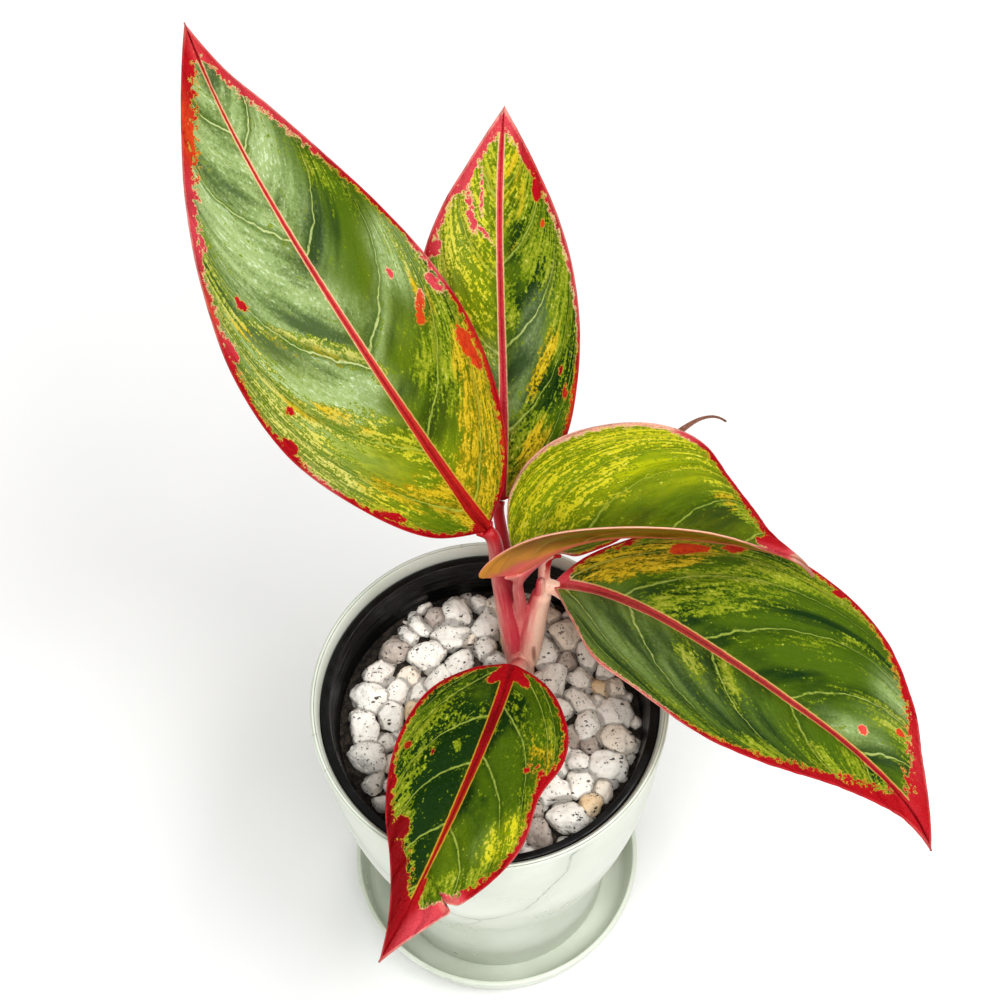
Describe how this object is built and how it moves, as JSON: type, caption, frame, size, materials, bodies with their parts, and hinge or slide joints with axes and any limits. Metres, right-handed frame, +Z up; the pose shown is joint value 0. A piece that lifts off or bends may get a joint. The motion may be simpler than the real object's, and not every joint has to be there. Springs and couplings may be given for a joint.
{
  "type": "potted chinese evergreen",
  "caption": "Potted Chinese evergreen: broad red-edged green and yellow leaves on a branching stem, pumice top dressing, black grower's pot, footed marbled pot and saucer.",
  "frame": {"origin": "on the pot's axis, in the plane of the saucer's underside", "axes": "+Z up along the pot's axis; -Y towards the side that the front leaf hangs over"},
  "size_m": [0.2314, 0.2606, 0.2964],
  "materials": {
    "saucer": "satin white with faint grey-green marbling",
    "pot": "satin white with thin grey marble veins",
    "grower_pot": "semi-matt black, thin moulded wall",
    "potting_mix": "matt, crumbly",
    "pumice": "matt, pitted, off-white with a few beige and grey stones",
    "stem": "smooth, waxy, pink",
    "leaf": "waxy, half gloss, green mottled with yellow, crimson margin and midrib"
  },
  "bodies": {
    "root": {"saucer": "saucer", "outer_pot": "pot", "grower_pot": "grower_pot", "potting_mix": "potting_mix", "pumice": "pumice", "stem": "stem", "leaf_back_left": "leaf", "leaf_back": "leaf", "leaf_right_folded": "leaf", "leaf_right_low": "leaf", "leaf_front": "leaf", "leaf_behind": "leaf"}
  },
  "joints": []
}
